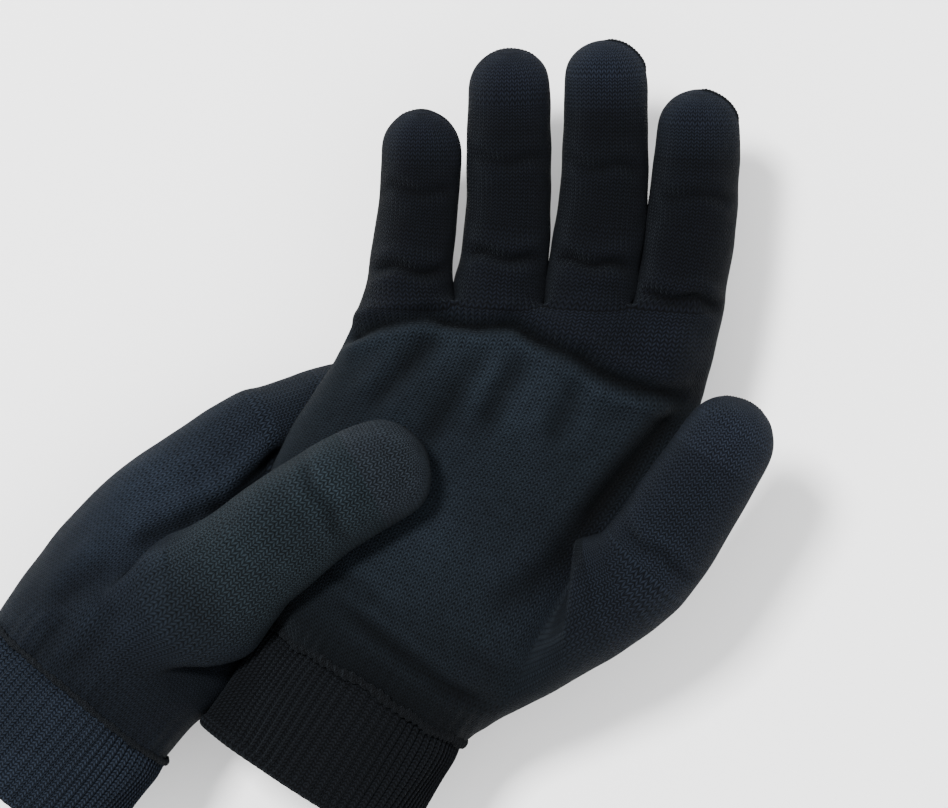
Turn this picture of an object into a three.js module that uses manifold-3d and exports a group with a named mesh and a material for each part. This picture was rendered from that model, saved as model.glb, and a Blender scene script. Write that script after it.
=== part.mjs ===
// A pair of knitted touchscreen gloves: the right glove lies palm up with its fingers
// pointing to +Y, and the left glove grips it from the little-finger side.
// Millimetres, +Z up. The origin is the middle of the right glove's wrist opening.

import * as THREE from 'three';
import { mergeVertices } from 'three/addons/utils/BufferGeometryUtils.js';
import Module from 'manifold-3d';

const wasm = await Module();
wasm.setup();

// ---------------------------------------------------------------------------
// Driving dimensions
// ---------------------------------------------------------------------------

const knitWall = 1.6;           // thickness of the knitted wall
const gap = 0.35;               // clearance between neighbouring pieces
const palmHalfWidth = 44;       // half the width of a worn palm
const palmHalfThick = 14;       // half the thickness of a worn palm
const wristLead = 8;            // how far the palm's path starts behind the cuff seam
const cuffHalfWidth = 29.2;     // half the width of the rib cuff
const cuffHalfThick = 18.5;     // half the thickness of the rib cuff
const cuffLength = 30.8;        // hem edge to cuff seam
const cuffWidthLoss = 0.015;    // share of its width that the cuff loses towards the hand
const cuffThickLoss = 0.06;     // share of its thickness that the cuff loses towards the hand
const hemLength = 3;            // length of the turned hem at the wrist opening
const hemRise = 0.4;            // how far the hem stands out
const ribCount = 18;            // ribs around the cuff in the solid model
const ribDepth = 0.5;           // height of one rib
const seamWidth = 2.6;          // width of the overlocked cuff seam
const seamRise = 0.9;           // how far the cuff seam stands out
const stubLength = 8.6;         // finger fabric that stays with the hand, past the finger web
const baseLength = 18.6;        // length of the lower finger tube
const fingerRootDepth = 12;     // how far a finger reaches back into the palm
const fingerWidthLoss = 0.06;   // share of its width that a finger loses towards the tip
const digitThickLoss = 0.14;    // share of its thickness that a digit loses towards the tip
const tipRoundness = 0.95;      // length of a fingertip's round end over its half width
const touchLength = 17;         // length of the conductive fingertip
const tipSeamRadius = 0.75;     // radius of the closing seam over a fingertip
const tipSeamFrom = 38;         // where the closing seam starts over the fingertip, degrees
const tipSeamSweep = 104;       // how far it goes round, degrees
const hingeShift = 3.2;         // hinge axes sit this far above a finger's middle
const hingeAhead = 0.6;         // and this far past the end of the tube behind them
const swingDepth = 12;          // length of the tube behind a hinge that the moving tube must clear
const swingStep = 14;           // degrees between the places where that is cleared
const ringSides = 10;           // facets around a finger
const palmSides = 16;           // facets around a palm
const palmSpans = 6;            // lengthwise steps of a palm
const digitSpans = 4;           // lengthwise steps of a finger
const tipSeamSides = 5;         // facets around a closing seam
const tipSeamSpans = 6;         // lengthwise steps of a closing seam
const samplesPerLeg = 24;       // points worked out on each leg of a path
const squareness = 2.25;        // exponent of the rounded cross sections
const cutReach = 160;           // half size of the blocks used for cutting, beyond any tube
const degree = Math.PI / 180;

// ---------------------------------------------------------------------------
// Materials
// ---------------------------------------------------------------------------

function knitMaterial(hex, roughness) {
  return { color: hex, roughness, metalness: 0 };
}

const bodyLook = knitMaterial(0x1d262e, 0.95);
const fingerLook = knitMaterial(0x161b21, 0.95);
const cuffLook = knitMaterial(0x20272f, 0.96);
const seamLook = knitMaterial(0x333c43, 0.92);
const touchLook = knitMaterial(0x2b2d31, 0.85);

// ---------------------------------------------------------------------------
// Vectors, frames and solids
// ---------------------------------------------------------------------------

function vec(x, y, z) {
  return new THREE.Vector3(x, y, z);
}

function direction(yaw, pitch) {
  const flat = Math.cos(pitch * degree);
  return vec(flat * Math.cos(yaw * degree), flat * Math.sin(yaw * degree), Math.sin(pitch * degree));
}

function along(point, heading, distance) {
  return point.clone().addScaledVector(heading, distance);
}

function solidFrom(points, triangles) {
  let volume = 0;
  for (const [a, b, c] of triangles) {
    volume += points[a].dot(points[b].clone().cross(points[c]));
  }
  const flat = new Float32Array(points.length * 3);
  points.forEach((p, i) => p.toArray(flat, i * 3));
  const faces = new Uint32Array(triangles.length * 3);
  triangles.forEach(([a, b, c], i) => {
    faces.set(volume > 0 ? [a, b, c] : [a, c, b], i * 3);
  });
  return new wasm.Manifold(new wasm.Mesh({ numProp: 3, vertProperties: flat, triVerts: faces }));
}

// Closed solid through a list of rings with the same number of points.
function loft(rings) {
  const sides = rings[0].length;
  const points = rings.flat();
  const triangles = [];
  for (let r = 0; r + 1 < rings.length; r += 1) {
    for (let k = 0; k < sides; k += 1) {
      const next = (k + 1) % sides;
      const a = r * sides + k;
      const b = r * sides + next;
      const c = (r + 1) * sides + next;
      const d = (r + 1) * sides + k;
      triangles.push([a, b, c], [a, c, d]);
    }
  }
  const ends = [rings[0], rings[rings.length - 1]];
  ends.forEach((ring, end) => {
    const middle = vec(0, 0, 0);
    ring.forEach((p) => middle.addScaledVector(p, 1 / sides));
    const hub = points.length;
    points.push(middle);
    const first = end === 0 ? 0 : (rings.length - 1) * sides;
    for (let k = 0; k < sides; k += 1) {
      const a = first + k;
      const b = first + ((k + 1) % sides);
      triangles.push(end === 0 ? [hub, b, a] : [hub, a, b]);
    }
  });
  return solidFrom(points, triangles);
}

// Box given by its centre, three unit axes and three half sizes.
function block(centre, axes, halves) {
  const points = [];
  for (let i = 0; i < 8; i += 1) {
    const p = centre.clone();
    axes.forEach((axis, k) => p.addScaledVector(axis, (i >> k) & 1 ? halves[k] : -halves[k]));
    points.push(p);
  }
  const quads = [[0, 1, 3, 2], [4, 6, 7, 5], [0, 4, 5, 1], [2, 3, 7, 6], [0, 2, 6, 4], [1, 5, 7, 3]];
  const triangles = quads.flatMap(([a, b, c, d]) => [[a, b, c], [a, c, d]]);
  return solidFrom(points, triangles);
}

function meshFrom(solid, name, look) {
  const raw = solid.getMesh();
  const geometry = new THREE.BufferGeometry();
  geometry.setAttribute('position', new THREE.BufferAttribute(new Float32Array(raw.vertProperties), 3));
  geometry.setIndex(new THREE.BufferAttribute(new Uint32Array(raw.triVerts), 1));
  const merged = mergeVertices(geometry, 1e-4);
  merged.computeVertexNormals();
  const mesh = new THREE.Mesh(merged, new THREE.MeshStandardMaterial(look));
  mesh.name = name;
  return mesh;
}

// ---------------------------------------------------------------------------
// Limbs: a path with a width direction and a size at every point
// ---------------------------------------------------------------------------

function makeLimb(knots) {
  const steps = samplesPerLeg * (knots.length - 1);
  const centres = new THREE.CatmullRomCurve3(knots.map((k) => k.centre));
  const sides = new THREE.CatmullRomCurve3(knots.map((k) => k.side));
  const sizes = new THREE.CatmullRomCurve3(knots.map((k) => vec(k.halfWidth, k.halfThick, 0)));
  const samples = [];
  let travelled = 0;
  for (let i = 0; i <= steps; i += 1) {
    const t = i / steps;
    const centre = centres.getPoint(t);
    const forward = centres.getTangent(t);
    const side = sides.getPoint(t);
    side.addScaledVector(forward, -side.dot(forward)).normalize();
    const palm = side.clone().cross(forward).normalize();
    const size = sizes.getPoint(t);
    if (i > 0) {
      travelled += centre.distanceTo(samples[i - 1].centre);
    }
    samples.push({ s: travelled, centre, forward, side, palm, halfWidth: size.x, halfThick: size.y });
  }
  return { samples, length: travelled };
}

// Frame of a limb at arc length s, extended in a straight line past both ends.
function frameAt(limb, s) {
  const samples = limb.samples;
  let i = 1;
  while (i < samples.length - 1 && samples[i].s < s) {
    i += 1;
  }
  const a = samples[i - 1];
  const b = samples[i];
  const t = (s - a.s) / (b.s - a.s);
  const held = Math.min(Math.max(t, 0), 1);
  return {
    centre: a.centre.clone().lerp(b.centre, t),
    forward: a.forward.clone().lerp(b.forward, held).normalize(),
    side: a.side.clone().lerp(b.side, held).normalize(),
    palm: a.palm.clone().lerp(b.palm, held).normalize(),
    halfWidth: a.halfWidth + (b.halfWidth - a.halfWidth) * held,
    halfThick: a.halfThick + (b.halfThick - a.halfThick) * held,
  };
}

function ringAt(frame, halfWidth, halfThick, sides) {
  const ring = [];
  for (let k = 0; k < sides; k += 1) {
    const angle = ((k + 0.5) / sides) * 2 * Math.PI;
    const c = Math.cos(angle);
    const s = Math.sin(angle);
    const x = Math.sign(c) * Math.abs(c) ** (2 / squareness) * halfWidth;
    const y = Math.sign(s) * Math.abs(s) ** (2 / squareness) * halfThick;
    ring.push(frame.centre.clone().addScaledVector(frame.side, x).addScaledVector(frame.palm, y));
  }
  return ring;
}

// Solid along a limb between two arc lengths, shrunk by an inset, with an optional round end.
function limbSolid(limb, from, to, spans, inset, roundEnd, sides) {
  const rings = [];
  const straightTo = roundEnd > 0 ? to - roundEnd : to;
  for (let i = 0; i <= spans; i += 1) {
    const frame = frameAt(limb, from + ((straightTo - from) * i) / spans);
    rings.push(ringAt(frame, frame.halfWidth - inset, frame.halfThick - inset, sides));
  }
  if (roundEnd > 0) {
    for (const share of [0.5, 0.85, 0.985]) {
      const frame = frameAt(limb, straightTo + roundEnd * share);
      const shrink = Math.sqrt(1 - share * share);
      const halfWidth = (frame.halfWidth - inset) * shrink;
      const halfThick = (frame.halfThick - inset) * shrink;
      rings.push(ringAt(frame, halfWidth, halfThick, sides));
    }
  }
  return loft(rings);
}

// Cuts a solid at a plane across a limb: 'behind' removes the part nearer the wrist.
function cutAcross(solid, frame, removes) {
  const sign = removes === 'behind' ? -1 : 1;
  const centre = along(frame.centre, frame.forward, sign * cutReach);
  const halves = [cutReach, cutReach, cutReach];
  return solid.subtract(block(centre, [frame.forward, frame.side, frame.palm], halves));
}

// Removes from a moving tube all that would run into the tube behind it while it turns.
function clearSwing(solid, frame, hinge, range) {
  const steps = Math.max(2, Math.ceil(range / swingStep));
  const halves = [swingDepth, frame.halfWidth + 3, frame.halfThick + gap];
  const start = along(frame.centre, frame.forward, -swingDepth);
  let left = solid;
  for (let i = 0; i <= steps; i += 1) {
    const turn = new THREE.Quaternion().setFromAxisAngle(hinge.axis, (-range * degree * i) / steps);
    const centre = start.clone().sub(hinge.point).applyQuaternion(turn).add(hinge.point);
    const axes = [frame.forward, frame.side, frame.palm].map((a) => a.clone().applyQuaternion(turn));
    left = left.subtract(block(centre, axes, halves));
  }
  return left;
}

// ---------------------------------------------------------------------------
// Finger and thumb paths, built leg by leg
// ---------------------------------------------------------------------------

function walkPath(start, legs) {
  const points = [start.clone()];
  for (const [length, yaw, pitch] of legs) {
    points.push(along(points[points.length - 1], direction(yaw, pitch), length));
  }
  return points;
}

function fingerLimb(spec, web, side) {
  const [, yaw, pitch] = spec.legs[0];
  const rootDepth = spec.rootDepth ?? fingerRootDepth;
  const points = [along(web, direction(yaw, pitch), -rootDepth), ...walkPath(web, spec.legs)];
  const knots = points.map((centre, i) => {
    const taper = i / (points.length - 1);
    return {
      centre,
      side,
      halfWidth: spec.halfWidth * (1 - (spec.narrowing ?? fingerWidthLoss) * taper),
      halfThick: spec.halfThick * (1 - digitThickLoss * taper),
    };
  });
  return makeLimb(knots);
}

// ---------------------------------------------------------------------------
// The two hands. A leg is its length in millimetres, its yaw from +X and its pitch above the XY
// plane in degrees. webCentre is the middle of the four finger webs, and webStep goes from one
// finger to the next.
// ---------------------------------------------------------------------------

const digitNames = ['little', 'ring', 'middle', 'index', 'thumb'];

const rightHand = {
  prefix: 'right_',
  hem: vec(0, 0, 0),
  armYaw: 57.5,
  palm: [
    { centre: vec(24.0, 42.5, 0), sideYaw: -24.5, sideTilt: 0, widthShare: 0.85, thickShare: 1.12 },
    { centre: vec(32.5, 63.3, 0), sideYaw: -20.5, sideTilt: -3, widthShare: 0.985, thickShare: 1.0 },
    { centre: vec(45.0, 86.5, 0), sideYaw: -14, sideTilt: -4, widthShare: 0.985, thickShare: 0.96 },
    { centre: vec(58.5, 111, 0), sideYaw: -2, sideTilt: -1, widthShare: 1.02, thickShare: 0.84 },
    { centre: vec(60.6, 120, 0), sideYaw: -1, sideTilt: 0, widthShare: 0.98, thickShare: 0.66 },
  ],
  webCentre: vec(61, 121.5, 0),
  webStep: vec(22.9, 0.1, 0),
  fingerSide: vec(1, 0, 0),
  fingerAxis: vec(1, 0, 0),
  baseRange: 70,
  endRange: 80,
  digits: {
    little: { halfWidth: 10.2, halfThick: 8.8, legs: [[18, 83, 2], [16, 85, 6], [14.5, 90, 9]] },
    ring: { halfWidth: 10.5, halfThick: 9.2, legs: [[22, 83.5, 2], [20, 89, 6], [21.5, 91, 9]] },
    middle: { halfWidth: 10.6, halfThick: 9.3, legs: [[22, 83, 2], [18, 86, 6], [25.5, 90.5, 9]] },
    index: { halfWidth: 10.7, halfThick: 9.2, legs: [[18, 81.5, 2], [17, 86, 6], [18, 89, 9]] },
    thumb: {
      halfWidth: 15,
      halfThick: 11.2,
      narrowing: 0.2,
      rootDepth: 6,
      start: vec(38, 31.5, 2),
      side: vec(0.62, -0.78, 0),
      legs: [[28, 24, 16], [25, 28, 14], [26, 54, 6], [24.5, 57, 0]],
      stub: 38,
      base: 24,
      flexTo: vec(-0.35, 0.2, 0.9),
      baseRange: 30,
      endRange: 50,
    },
  },
};

const leftHand = {
  prefix: 'left_',
  hem: vec(-75, 0.5, 0),
  armYaw: 50.3,
  palm: [
    { centre: vec(-46.3, 36.6, -4), sideYaw: -41, sideTilt: -10, widthShare: 0.645, thickShare: 1.16 },
    { centre: vec(-35, 47, -11), sideYaw: -46, sideTilt: -19, widthShare: 0.75, thickShare: 1.08 },
    { centre: vec(-21.5, 54, -16), sideYaw: -61, sideTilt: -23, widthShare: 0.875, thickShare: 1.0 },
    { centre: vec(-8.5, 58.4, -21), sideYaw: -76, sideTilt: -16, widthShare: 0.955, thickShare: 0.84 },
    { centre: vec(-5, 59, -21.6), sideYaw: -76, sideTilt: -16, widthShare: 0.93, thickShare: 0.66 },
  ],
  webCentre: vec(-4.5, 58.8, -21.6),
  webStep: vec(-5, 20.4, 5.8),
  fingerSide: vec(0.1, -0.97, -0.2),
  fingerAxis: vec(0, 1, 0),
  baseRange: 25,
  endRange: 30,
  digits: {
    little: { halfWidth: 9.5, halfThick: 9, legs: [[19, 14, -1], [16, 10, 2], [15, 2, 1]] },
    ring: { halfWidth: 9.8, halfThick: 9.2, legs: [[19, 15, -4], [18, 11, 3], [18, 3, 2], [12, 0, 1]] },
    middle: { halfWidth: 9.9, halfThick: 9.3, legs: [[21, 17, -12], [18, 12, -3], [20, 3, 0], [14, 0, 1]] },
    index: { halfWidth: 9.9, halfThick: 9.2, legs: [[22, 18, -23], [17, 12, -15], [16, 5, 0], [12, 0, 0]] },
    thumb: {
      halfWidth: 15.2,
      halfThick: 10.8,
      narrowing: 0.2,
      rootDepth: 6,
      start: vec(-33, 41, 0),
      side: vec(0.6, -0.78, 0),
      legs: [[24.5, 35.5, 38], [27, 40, 22], [34, 29, -3]],
      stub: 26,
      base: 20,
      flexTo: vec(0, 0, 1),
      baseRange: 25,
      endRange: 25,
    },
  },
};

// ---------------------------------------------------------------------------
// One glove
// ---------------------------------------------------------------------------

// Ring across the arm with every second point raised, which makes the ribs.
function cuffRing(centre, armward, side, halfWidth, halfThick, count, ribHeight) {
  const up = side.clone().cross(armward).normalize();
  const frame = { centre, side, palm: up };
  const smooth = ringAt(frame, halfWidth, halfThick, count);
  return smooth.map((p, k) => along(p, p.clone().sub(centre).normalize(), k % 2 === 0 ? ribHeight : 0));
}

// Open tube of the cuff between two distances from the wrist opening.
function cuffBand(hand, from, to, rise, ribHeight) {
  const armward = direction(hand.armYaw, 0);
  const side = direction(hand.armYaw - 90, 0);
  const count = ribHeight > 0 ? ribCount * 2 : palmSides;
  const rings = (inset, lift, margin) => [from - margin, to + margin].map((s) => {
    const share = s / cuffLength;
    const halfWidth = cuffHalfWidth * (1 - cuffWidthLoss * share) - inset;
    const halfThick = cuffHalfThick * (1 - cuffThickLoss * share) - inset;
    return cuffRing(along(hand.hem, armward, s), armward, side, halfWidth, halfThick, count, lift);
  });
  const outer = loft(rings(-rise, ribHeight, 0));
  const hole = loft(rings(knitWall, 0, knitWall));
  return outer.subtract(hole);
}

// A thin round cord bent over the round end of a fingertip.
function tipSeam(limb, roundEnd) {
  const tip = frameAt(limb, limb.length - roundEnd);
  const lift = gap + tipSeamRadius;
  const wide = tip.halfWidth + lift;
  const long = roundEnd + lift;
  const rings = [];
  for (let i = 0; i <= tipSeamSpans; i += 1) {
    const angle = (tipSeamFrom + (tipSeamSweep * i) / tipSeamSpans) * degree;
    const beside = along(tip.centre, tip.side, wide * Math.cos(angle));
    const centre = along(beside, tip.forward, long * Math.sin(angle));
    const outward = tip.side.clone().multiplyScalar(Math.cos(angle) / wide);
    outward.addScaledVector(tip.forward, Math.sin(angle) / long).normalize();
    const ring = [];
    for (let k = 0; k < tipSeamSides; k += 1) {
      const turn = (k / tipSeamSides) * 2 * Math.PI;
      const out = along(centre, outward, tipSeamRadius * Math.cos(turn));
      ring.push(along(out, tip.palm, tipSeamRadius * Math.sin(turn)));
    }
    rings.push(ring);
  }
  return loft(rings);
}

function buildGlove(hand, group) {
  const armward = direction(hand.armYaw, 0);
  const armSide = direction(hand.armYaw - 90, 0);
  const wrist = along(hand.hem, armward, cuffLength);
  const wristHalfWidth = cuffHalfWidth * (1 - cuffWidthLoss);
  const wristHalfThick = cuffHalfThick * (1 - cuffThickLoss);
  const behindWrist = along(wrist, armward, -wristLead);
  const palmKnots = [behindWrist, wrist].map((centre) => (
    { centre, side: armSide, halfWidth: wristHalfWidth, halfThick: wristHalfThick }
  ));
  for (const knot of hand.palm) {
    palmKnots.push({
      centre: knot.centre,
      side: direction(knot.sideYaw, knot.sideTilt),
      halfWidth: palmHalfWidth * knot.widthShare,
      halfThick: palmHalfThick * knot.thickShare,
    });
  }
  const palmLimb = makeLimb(palmKnots);
  const palmSolid = limbSolid(palmLimb, 0, palmLimb.length, palmSpans, 0, 0, palmSides);
  const palmVoid = limbSolid(palmLimb, -4, palmLimb.length - knitWall, palmSpans, knitWall, 0, palmSides);
  const palmKeepOut = limbSolid(palmLimb, 0, palmLimb.length + gap, palmSpans, -gap, 0, palmSides);

  let body = palmSolid;
  const voids = [palmVoid];
  const pieces = [];

  digitNames.forEach((digit, order) => {
    const spec = hand.digits[digit];
    const isThumb = digit === 'thumb';
    const web = isThumb ? spec.start : along(hand.webCentre, hand.webStep, order - 1.5);
    const limb = fingerLimb(spec, web, isThumb ? spec.side : hand.fingerSide);
    const stubEnd = isThumb ? spec.rootDepth + spec.stub : fingerRootDepth + stubLength;
    const baseEnd = stubEnd + (isThumb ? spec.base : baseLength);
    const baseRange = isThumb ? spec.baseRange : hand.baseRange;
    const endRange = isThumb ? spec.endRange : hand.endRange;
    const roundEnd = spec.halfWidth * tipRoundness;
    const innerRound = roundEnd - knitWall;

    const outer = limbSolid(limb, 0, limb.length, digitSpans, 0, roundEnd, ringSides);
    const inner = limbSolid(limb, -1, limb.length - knitWall, digitSpans, knitWall, innerRound, ringSides);
    const shell = outer.subtract(inner);

    const stubFrame = frameAt(limb, stubEnd);
    if (isThumb) {
      const root = cutAcross(shell, stubFrame, 'ahead').subtract(palmKeepOut);
      pieces.push([root, 'thumb_root', bodyLook]);
    } else {
      body = body.add(cutAcross(outer, stubFrame, 'ahead'));
    }
    voids.push(inner);

    const makeHinge = (tubeEnd) => {
      const frame = frameAt(limb, tubeEnd + hingeAhead);
      const bendsTo = isThumb ? spec.flexTo : vec(0, 0, hand.prefix === 'right_' ? 1 : -1);
      const axis = isThumb ? frame.forward.clone().cross(bendsTo).normalize() : hand.fingerAxis.clone();
      return { point: along(frame.centre, vec(0, 0, 1), isThumb ? 0 : hingeShift), axis };
    };

    const baseHinge = makeHinge(stubEnd);
    const endHinge = makeHinge(baseEnd);

    let base = cutAcross(shell, frameAt(limb, stubEnd + gap), 'behind');
    base = cutAcross(base, frameAt(limb, baseEnd), 'ahead');
    base = clearSwing(base, stubFrame, baseHinge, baseRange);
    if (isThumb) {
      base = base.subtract(palmKeepOut);
    }
    pieces.push([base, `${digit}_base_tube`, fingerLook]);

    let end = cutAcross(shell, frameAt(limb, baseEnd + gap), 'behind');
    end = clearSwing(end, frameAt(limb, baseEnd), endHinge, endRange);
    const hasTouchTip = digit !== 'ring' && digit !== 'little';
    if (hasTouchTip) {
      const touchFrom = limb.length - touchLength;
      const cap = cutAcross(shell, frameAt(limb, touchFrom + gap), 'behind');
      end = cutAcross(end, frameAt(limb, touchFrom), 'ahead');
      pieces.push([cap, `${digit}_touch_tip`, touchLook]);
    }
    pieces.push([end, `${digit}_end_tube`, fingerLook]);
    pieces.push([tipSeam(limb, roundEnd), `${digit}_tip_seam`, seamLook]);
  });

  for (const empty of voids) {
    body = body.subtract(empty);
  }
  const bodyFrom = along(wrist, armward, seamWidth / 2 + gap);
  const seamEdge = { centre: bodyFrom, forward: armward, side: armSide, palm: vec(0, 0, 1) };
  body = cutAcross(body, seamEdge, 'behind');

  group.add(meshFrom(body, `${hand.prefix}hand_body`, bodyLook));
  const seamFrom = cuffLength - seamWidth / 2;
  const cuff = cuffBand(hand, hemLength + gap, seamFrom - gap, 0, ribDepth);
  const hem = cuffBand(hand, 0, hemLength, hemRise, 0);
  const seam = cuffBand(hand, seamFrom, seamFrom + seamWidth, seamRise, 0);
  group.add(meshFrom(cuff, `${hand.prefix}rib_cuff`, cuffLook));
  group.add(meshFrom(hem, `${hand.prefix}cuff_hem`, cuffLook));
  group.add(meshFrom(seam, `${hand.prefix}cuff_seam`, seamLook));
  for (const [solid, name, look] of pieces) {
    group.add(meshFrom(solid, `${hand.prefix}${name}`, look));
  }
}

const gloves = new THREE.Group();
gloves.name = 'touchscreen_gloves';
buildGlove(rightHand, gloves);
buildGlove(leftHand, gloves);

export default gloves;
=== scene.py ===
import math

import bpy
import numpy as np
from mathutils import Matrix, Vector
from mathutils.bvhtree import BVHTree


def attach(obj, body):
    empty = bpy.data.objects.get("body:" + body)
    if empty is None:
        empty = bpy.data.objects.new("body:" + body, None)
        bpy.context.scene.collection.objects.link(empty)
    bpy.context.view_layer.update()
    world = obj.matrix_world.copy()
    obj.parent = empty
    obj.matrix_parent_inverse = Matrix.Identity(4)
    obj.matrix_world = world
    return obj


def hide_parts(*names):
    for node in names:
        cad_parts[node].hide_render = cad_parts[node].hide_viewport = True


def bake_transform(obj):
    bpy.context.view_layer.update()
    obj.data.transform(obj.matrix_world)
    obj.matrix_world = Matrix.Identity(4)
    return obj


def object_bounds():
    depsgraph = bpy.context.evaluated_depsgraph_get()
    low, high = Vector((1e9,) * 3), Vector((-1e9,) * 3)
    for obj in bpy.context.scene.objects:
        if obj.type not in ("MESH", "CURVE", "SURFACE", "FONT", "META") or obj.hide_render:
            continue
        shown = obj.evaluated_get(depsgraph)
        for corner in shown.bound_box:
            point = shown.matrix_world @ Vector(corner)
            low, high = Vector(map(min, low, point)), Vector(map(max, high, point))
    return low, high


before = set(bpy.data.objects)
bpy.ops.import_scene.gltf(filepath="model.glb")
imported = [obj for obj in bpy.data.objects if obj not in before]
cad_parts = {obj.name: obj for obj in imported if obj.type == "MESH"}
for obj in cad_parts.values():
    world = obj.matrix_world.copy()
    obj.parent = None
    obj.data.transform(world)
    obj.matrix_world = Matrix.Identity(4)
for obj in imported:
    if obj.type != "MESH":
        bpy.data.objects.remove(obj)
CAD_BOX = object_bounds()

MM = 0.001
FINGERS = ["little", "ring", "middle", "index"]
DIGITS = FINGERS + ["thumb"]
TUBE_PARTS = ("base_tube", "end_tube", "touch_tip")
TOUCH_DIGITS = ["middle", "index", "thumb"]
COLUMNS = 20              # cage points around a palm
WALES = 6                 # knitted wales in one cage column
COURSE = 1.0              # height of one knitted course, mm
OCTAGON = 1.108           # an eight-point ring shrinks by this much when it is subdivided
TWENTY = 1.017            # and a twenty-point ring by this much
SUBDIVISION = 4

# Digits, mm
SPLIT = 18.2              # finger fabric past the web that belongs to the lower tube
TOUCH_LENGTH = 17.0       # conductive fingertip
PLAIN_TIP = 13.0          # rounded end of a finger without a conductive tip
WEB_RINGS = [2.4, 7.4, 12.8]    # cage rings between a finger's web and its split
RING_STEP = 9.5           # distance of the cage rings past the split
TIP_RINGS = [(8.6, 0.98), (4.6, 0.83), (1.5, 0.5)]    # distance from the tip, share of the full size
CROWN = 0.9               # the last cage point is this far past the tip
FINGER_NARROWING = 0.06   # share of its width that a finger loses from web to tip
THINNING = 0.14           # share of its thickness that a digit loses from root to tip
VALLEY = 0.62             # height of the palm's last ring between two fingers, as a share
WEB_DIP = 2.0             # the web between two fingers lies this far back
PRESS_FADE = 7            # length over which a finger stops pressing on its neighbour
PRESS_GAP = 0.12          # half the gap between two fingers that press on each other
CROTCH_GAIN = 0.14        # extra width beside the web, as a share
CROTCH_REACH = 9          # and how far it reaches

# Cuffs, mm
CUFF_LENGTH = 30.8
CUFF_WIDE = 29.0          # half width at the hem
CUFF_THICK = 18.4         # half thickness at the hem
CUFF_WIDTH_LOSS = 0.012   # share that each loses from the hem to the seam
CUFF_THICK_LOSS = 0.06
CUFF_CORNER = 0.89        # below 1 the oval is a little squarer
CUFF_WALL = 1.5
RIBS = 78
RIB_HEIGHT = 0.42
RIB_POINTS = 8            # points around one rib
HEM_RADIUS = 1.15
SEAM_RADIUS = 0.78
SEAM_WRAPS = 86           # turns of thread around the cuff seam
TIP_SEAM_BACK = 9         # a tip seam is traced from a point this far behind the tip

# ---------------------------------------------------------------------------
# The two hands, in millimetres. Rows run from the cuff seam to the finger webs: little-finger
# edge, index edge, half thickness, and how far the middle columns spread sideways.
# ---------------------------------------------------------------------------

RIGHT = {
    "side": "right",
    "mirror": 1,
    "hem": (0, 0, 0),
    "arm_yaw": 57.5,
    "rows": [
        ((-7.6, 41.2, 0), (40.7, 10.6, 0), 16.9, 0),
        ((-11.4, 52.5, 0), (52.0, 18.0, 1), 16.8, 0),
        ((-11.5, 65.0, 0), (64.0, 37.0, 2), 15.6, 0),
        ((-8.0, 79.5, 0), (78.0, 57.5, -1), 14.6, 0),
        ((-2.0, 91.0, 0), (92.0, 75.5, -5), 13.6, 0),
        ((4.8, 101.5, 0), (100.5, 93.0, -5), 13.0, 0),
        ((11.0, 111.5, 0), (104.0, 108.0, -2), 12.2, 0),
        ((14.8, 120.5, 0), (107.2, 120.5, 0), 10.6, 0),
    ],
    "patch": (1, 8),
    "patch_turn": -1,
    "thumb_skew": ("cos", [(34, -8, 1.14), (42, -4, 1.06), (50, -1.5, 1.01)]),
    "web": (61, 121.5, 0),
    "web_step": (22.9, 0.1, 0),
    "finger_side": (1, 0, 0),
    "pressed": [2, 14, 29],
    "digits": {
        "little": {"wide": 10.4, "thick": 8.9, "legs": [(18, 83, 2), (16, 85, 6), (14.5, 90, 9)]},
        "ring": {"wide": 10.8, "thick": 9.3, "legs": [(22, 83.5, 2), (20, 89, 6), (21.5, 91, 9)]},
        "middle": {"wide": 11.0, "thick": 9.4, "legs": [(22, 83, 2), (18, 86, 6), (25.5, 90.5, 9)]},
        "index": {"wide": 11.1, "thick": 9.3, "legs": [(18, 81.5, 2), (17, 86, 6), (18, 89, 9)]},
        "thumb": {
            "wide": 15.6,
            "thick": 11.6,
            "narrowing": 0.27,
            "start": (38, 31.5, 2),
            "side": (0.62, -0.78, 0),
            "legs": [(28, 24, 16), (25, 29, 14), (26, 55, 6), (24.5, 58, 0)],
            "split": 55,
        },
    },
}

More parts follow.
